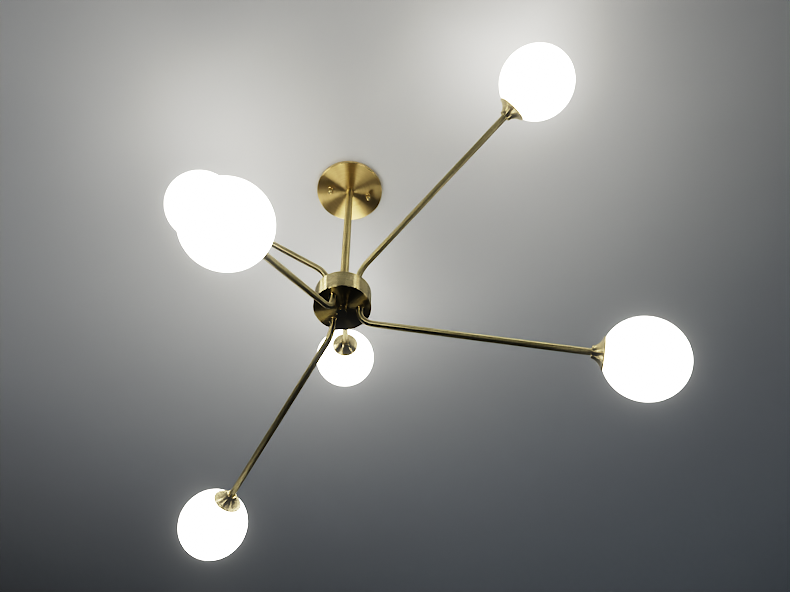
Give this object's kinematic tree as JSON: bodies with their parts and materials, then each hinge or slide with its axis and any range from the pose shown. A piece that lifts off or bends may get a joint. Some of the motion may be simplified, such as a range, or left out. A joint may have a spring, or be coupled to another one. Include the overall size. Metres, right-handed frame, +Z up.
{
  "type": "sputnik chandelier",
  "caption": "Hanging sputnik chandelier: a drum hub on a straight downrod carries bent, swivelling arms that end in opal glass globes.",
  "frame": {"origin": "the ceiling plane at the middle of the mounting strap's two ceiling slots", "axes": "+Z up into the ceiling; +X along the mounting strap, through its slots and studs; -Z down the downrod"},
  "size_m": [0.6861, 0.758, 0.5349],
  "materials": {
    "brushed_brass": "spun satin, fine concentric brushing under clear lacquer",
    "tube_brass": "satin tube, fine lathe brushing round it, clear lacquer",
    "polished_brass": "turned and polished, slightly softened",
    "zinc_steel": "bright zinc plated",
    "opal_glass": "opal white, smooth and lit from inside",
    "holder_ceramic": "unglazed white ceramic",
    "bulb_glass": "frosted capsule"
  },
  "bodies": {
    "ceiling_frame": {"mounting_strap": "zinc_steel", "strap_studs": "zinc_steel", "stud_locknuts": "zinc_steel", "canopy": "brushed_brass", "canopy_ball_nuts": "polished_brass", "canopy_washer": "zinc_steel", "canopy_nut": "zinc_steel", "rod_nipple": "zinc_steel", "downrod": "tube_brass", "rod_end_bushes": "zinc_steel", "hub_spine": "zinc_steel", "hub_washer": "zinc_steel", "hub_nut": "zinc_steel", "hub_drum": "brushed_brass", "hub_base_plate": "brushed_brass", "hub_finial": "polished_brass"},
    "arm_1": {"arm_1_tube": "tube_brass", "arm_1_flange": "polished_brass", "arm_1_locknut": "zinc_steel", "arm_1_cup": "polished_brass", "arm_1_lampholder": "holder_ceramic", "arm_1_bulb": "bulb_glass", "arm_1_globe": "opal_glass"},
    "arm_2": {"arm_2_tube": "tube_brass", "arm_2_flange": "polished_brass", "arm_2_locknut": "zinc_steel", "arm_2_cup": "polished_brass", "arm_2_lampholder": "holder_ceramic", "arm_2_bulb": "bulb_glass", "arm_2_globe": "opal_glass"},
    "arm_3": {"arm_3_tube": "tube_brass", "arm_3_flange": "polished_brass", "arm_3_locknut": "zinc_steel", "arm_3_cup": "polished_brass", "arm_3_lampholder": "holder_ceramic", "arm_3_bulb": "bulb_glass", "arm_3_globe": "opal_glass"},
    "arm_4": {"arm_4_tube": "tube_brass", "arm_4_flange": "polished_brass", "arm_4_locknut": "zinc_steel", "arm_4_cup": "polished_brass", "arm_4_lampholder": "holder_ceramic", "arm_4_bulb": "bulb_glass", "arm_4_globe": "opal_glass"},
    "arm_5": {"arm_5_tube": "tube_brass", "arm_5_flange": "polished_brass", "arm_5_locknut": "zinc_steel", "arm_5_cup": "polished_brass", "arm_5_lampholder": "holder_ceramic", "arm_5_bulb": "bulb_glass", "arm_5_globe": "opal_glass"},
    "arm_6": {"arm_6_tube": "tube_brass", "arm_6_flange": "polished_brass", "arm_6_locknut": "zinc_steel", "arm_6_cup": "polished_brass", "arm_6_lampholder": "holder_ceramic", "arm_6_bulb": "bulb_glass", "arm_6_globe": "opal_glass"}
  },
  "joints": [
    {"name": "arm_1_swivel", "type": "hinge", "parent": "ceiling_frame", "child": "arm_1", "pos_m": [0.01826, -0.01794, -0.307], "axis": [0, 0, 1], "range_deg": [-34.2, 55.8]},
    {"name": "arm_2_swivel", "type": "hinge", "parent": "ceiling_frame", "child": "arm_2", "pos_m": [0.00641, 0.02479, -0.307], "axis": [0, 0, 1], "range_deg": [-51.2, 38.8]},
    {"name": "arm_3_swivel", "type": "hinge", "parent": "ceiling_frame", "child": "arm_3", "pos_m": [-0.02467, -0.00684, -0.307], "axis": [0, 0, 1], "range_deg": [-40.8, 49.2]},
    {"name": "arm_4_swivel", "type": "hinge", "parent": "ceiling_frame", "child": "arm_4", "pos_m": [0.02526, -0.00414, -0.3405], "axis": [0, 0, 1], "range_deg": [-36.7, 53.3]},
    {"name": "arm_5_swivel", "type": "hinge", "parent": "ceiling_frame", "child": "arm_5", "pos_m": [-0.00905, 0.02395, -0.3405], "axis": [0, 0, 1], "range_deg": [-46.3, 43.7]},
    {"name": "arm_6_swivel", "type": "hinge", "parent": "ceiling_frame", "child": "arm_6", "pos_m": [-0.01622, -0.01981, -0.3405], "axis": [0, 0, 1], "range_deg": [-43.4, 46.6]}
  ]
}
